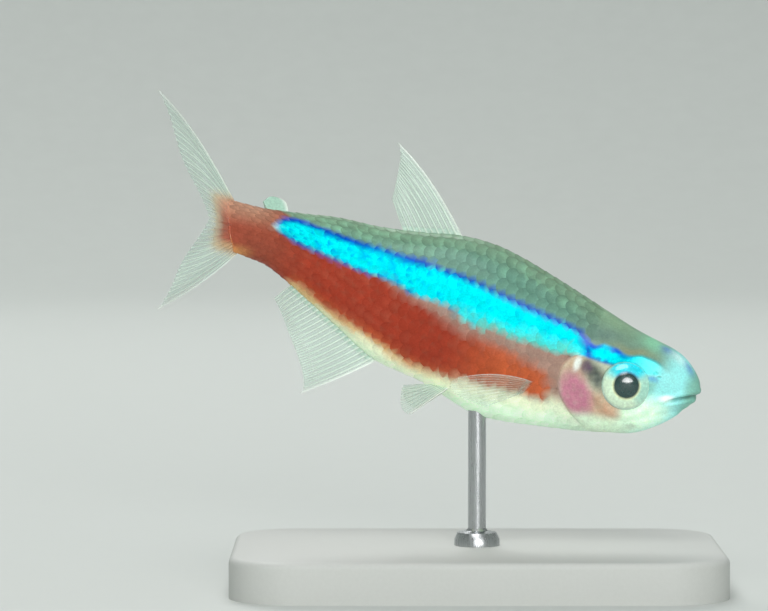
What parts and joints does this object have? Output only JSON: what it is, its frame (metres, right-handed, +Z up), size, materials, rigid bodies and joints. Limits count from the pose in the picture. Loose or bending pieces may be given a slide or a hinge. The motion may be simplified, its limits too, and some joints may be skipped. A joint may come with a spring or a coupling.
{
  "type": "cardinal tetra on a display stand",
  "caption": "Small freshwater fish with a blue stripe over a red band, swimming nose down with its tail bent, held by a rod on a flat base.",
  "frame": {"origin": "centre of the stand base's underside, on the floor", "axes": "+X towards the fish's head, -Y towards its right flank, +Z up out of the base"},
  "size_m": [0.0342, 0.0213, 0.0303],
  "materials": {
    "skin": "wet scaled skin: olive grey back, neon blue stripe, red lower flank, pale belly",
    "eye": "glossy clear eye, pale silver ring round a dark pupil",
    "fin": "thin clear membrane with whitish rays",
    "stand_base": "satin pale grey",
    "stand_rod": "brushed"
  },
  "bodies": {
    "root": {"head": "skin", "trunk": "skin", "tail_stem": "skin", "gill_cover_left": "skin", "gill_cover_right": "skin", "eye_left": "eye", "eye_right": "eye", "dorsal_fin": "fin", "adipose_fin": "fin", "anal_fin": "fin", "caudal_fin_upper": "fin", "caudal_fin_lower": "fin", "pectoral_fin_left": "fin", "pectoral_fin_right": "fin", "pelvic_fin_left": "fin", "pelvic_fin_right": "fin", "stand_base": "stand_base", "stand_rod": "stand_rod"}
  },
  "joints": []
}
